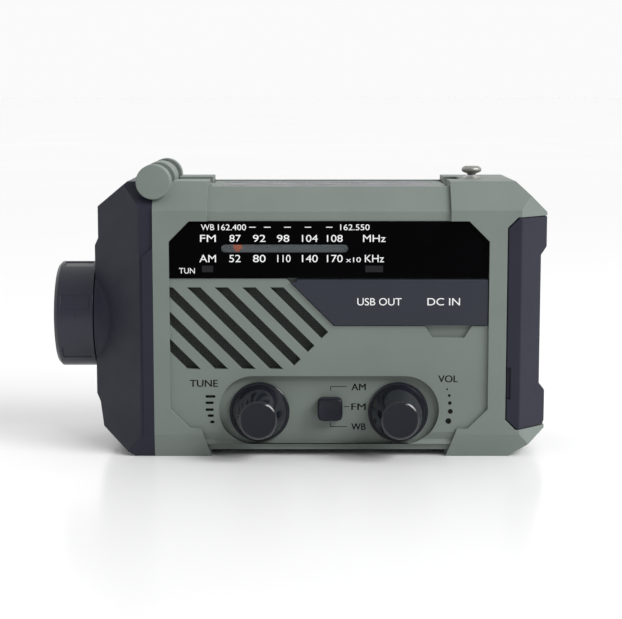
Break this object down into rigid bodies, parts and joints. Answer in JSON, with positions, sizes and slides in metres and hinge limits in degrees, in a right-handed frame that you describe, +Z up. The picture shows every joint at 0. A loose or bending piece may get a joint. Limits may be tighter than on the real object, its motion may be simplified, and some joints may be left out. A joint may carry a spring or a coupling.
{
  "type": "emergency radio",
  "caption": "Crank-charged portable emergency radio with a tuning dial, speaker grille, torch end, solar lamp flap and telescopic antenna.",
  "frame": {"origin": "on the surface the radio stands on, under the middle of its overall box", "axes": "+Z up, -Y towards the front with the dial and knobs, +X towards the battery cover; the torch is at -X"},
  "size_m": [0.1632, 0.0718, 0.0958],
  "materials": {
    "black_plastic": "moulded",
    "board_green": "solder mask",
    "brass": "satin",
    "cell_wrap": "shrink wrap",
    "chrome": "polished",
    "clear_lens": "clear",
    "dark_case": "fine moulded texture",
    "dark_gloss": "polished",
    "diffuser": "frosted",
    "grey_case": "fine moulded texture",
    "knob_dark": "satin",
    "light_pipe": "clear tinted",
    "orange_pointer": "moulded",
    "paper_cone": "paper",
    "solar": "polished",
    "steel": "satin",
    "white_plastic": "moulded"
  },
  "bodies": {
    "housing": {"front_shell": "grey_case", "rear_shell": "grey_case", "left_end_cap": "dark_case", "housing_screws": "steel", "dial_window": "dark_gloss", "scale_lens": "clear_lens", "indicator_lights": "light_pipe", "dial_rail": "steel", "speaker_mesh": "black_plastic", "speaker_basket": "steel", "speaker_magnet": "steel", "speaker_cone": "paper_cone", "tune_pot": "black_plastic", "volume_pot": "black_plastic", "band_switch": "black_plastic", "button_switches": "board_green", "usb_socket": "steel", "dc_socket": "steel", "main_board": "board_green", "battery_cell": "cell_wrap", "spare_cells": "cell_wrap", "battery_contacts": "steel", "gearbox_plate": "steel", "generator_case": "steel", "idler_arbor": "steel", "antenna_tube": "brass", "torch_head": "dark_case", "torch_lens": "clear_lens", "torch_reflector": "chrome", "torch_led_board": "board_green", "hinge_pin": "steel"},
    "tuning": {"tune_knob": "knob_dark", "tune_shaft": "steel"},
    "pointer": {"dial_pointer": "orange_pointer"},
    "volume": {"volume_knob": "knob_dark", "volume_shaft": "steel"},
    "band": {"band_slider": "black_plastic"},
    "flap": {"lamp_flap": "grey_case", "solar_panel": "solar", "lamp_diffuser": "diffuser", "lamp_board": "board_green"},
    "connector_cover": {"port_cover": "dark_case"},
    "end_cover": {"battery_cover": "dark_case"},
    "crank": {"crank_arm": "dark_case", "crank_shaft": "steel", "drive_gear": "white_plastic", "grip_pin": "steel"},
    "grip_fold": {"grip_stem": "steel"},
    "grip_sleeve": {"crank_grip": "black_plastic"},
    "idler": {"idler_pinion": "white_plastic", "idler_wheel": "white_plastic"},
    "rotor": {"rotor_pinion": "white_plastic"},
    "mast_1": {"antenna_section_1": "chrome"},
    "mast_2": {"antenna_section_2": "chrome"},
    "mast_3": {"antenna_section_3": "chrome"},
    "mast_4": {"antenna_section_4": "chrome", "antenna_tip": "chrome"},
    "torch_press": {"torch_button": "dark_case"},
    "sos_press": {"sos_button": "dark_case"}
  },
  "joints": [
    {"name": "tune_turn", "type": "hinge", "parent": "housing", "child": "tuning", "pos_m": [-0.01295, -0.0243, 0.0146], "axis": [0, 1, 0], "range_deg": [-28.3, 271.6]},
    {"name": "pointer_slide", "type": "slide", "parent": "housing", "child": "pointer", "axis": [1, 0, 0], "range_m": [-0.00365, 0.03465]},
    {"name": "volume_turn", "type": "hinge", "parent": "housing", "child": "volume", "pos_m": [0.03265, -0.0243, 0.0146], "axis": [0, 1, 0], "range_deg": [0, 300]},
    {"name": "band_slide", "type": "slide", "parent": "housing", "child": "band", "axis": [0, 0, 1], "range_m": [-0.0023, 0.0023]},
    {"name": "flap_tilt", "type": "hinge", "parent": "housing", "child": "flap", "pos_m": [-0.04705, 0.0057, 0.0902], "axis": [0, -1, 0], "range_deg": [0, 150]},
    {"name": "port_cover_swing", "type": "hinge", "parent": "housing", "child": "connector_cover", "pos_m": [0.02985, -0.02185, 0.05785], "axis": [-1, 0, 0], "range_deg": [0, 95]},
    {"name": "battery_cover_pull", "type": "slide", "parent": "housing", "child": "end_cover", "axis": [1, 0, 0], "range_m": [0, 0.025]},
    {"name": "crank_turn", "type": "hinge", "parent": "housing", "child": "crank", "pos_m": [0.00985, 0.0257, 0.044], "axis": [0, 1, 0], "continuous": true},
    {"name": "idler_turn", "type": "hinge", "parent": "housing", "child": "idler", "pos_m": [-0.01038, 0.0177, 0.02931], "axis": [0, 1, 0], "continuous": true},
    {"name": "rotor_turn", "type": "hinge", "parent": "housing", "child": "rotor", "pos_m": [-0.02656, 0.0157, 0.04106], "axis": [0, 1, 0], "continuous": true},
    {"name": "grip_unfold", "type": "hinge", "parent": "crank", "child": "grip_fold", "pos_m": [0.03685, 0.0314, 0.044], "axis": [0, 0, -1], "range_deg": [0, 90]},
    {"name": "grip_spin", "type": "hinge", "parent": "grip_fold", "child": "grip_sleeve", "pos_m": [0.02485, 0.0314, 0.044], "axis": [1, 0, 0], "continuous": true},
    {"name": "antenna_slide_1", "type": "slide", "parent": "housing", "child": "mast_1", "axis": [0, 0, 1], "range_m": [0, 0.062]},
    {"name": "antenna_slide_2", "type": "slide", "parent": "mast_1", "child": "mast_2", "axis": [0, 0, 1], "range_m": [0, 0.062]},
    {"name": "antenna_slide_3", "type": "slide", "parent": "mast_2", "child": "mast_3", "axis": [0, 0, 1], "range_m": [0, 0.062]},
    {"name": "antenna_slide_4", "type": "slide", "parent": "mast_3", "child": "mast_4", "axis": [0, 0, 1], "range_m": [0, 0.062]},
    {"name": "torch_button_press", "type": "slide", "parent": "housing", "child": "torch_press", "axis": [0, -1, 0], "range_m": [0, 0.001], "stiffness_N_per_m": 150},
    {"name": "sos_button_press", "type": "slide", "parent": "housing", "child": "sos_press", "axis": [0, -1, 0], "range_m": [0, 0.001], "stiffness_N_per_m": 150}
  ],
  "couplings": [
    {"joint": "pointer_slide", "follows": "tune_turn", "m_per_rad": 0.0073},
    {"joint": "idler_turn", "follows": "crank_turn", "ratio": -4},
    {"joint": "rotor_turn", "follows": "crank_turn", "ratio": 16}
  ]
}
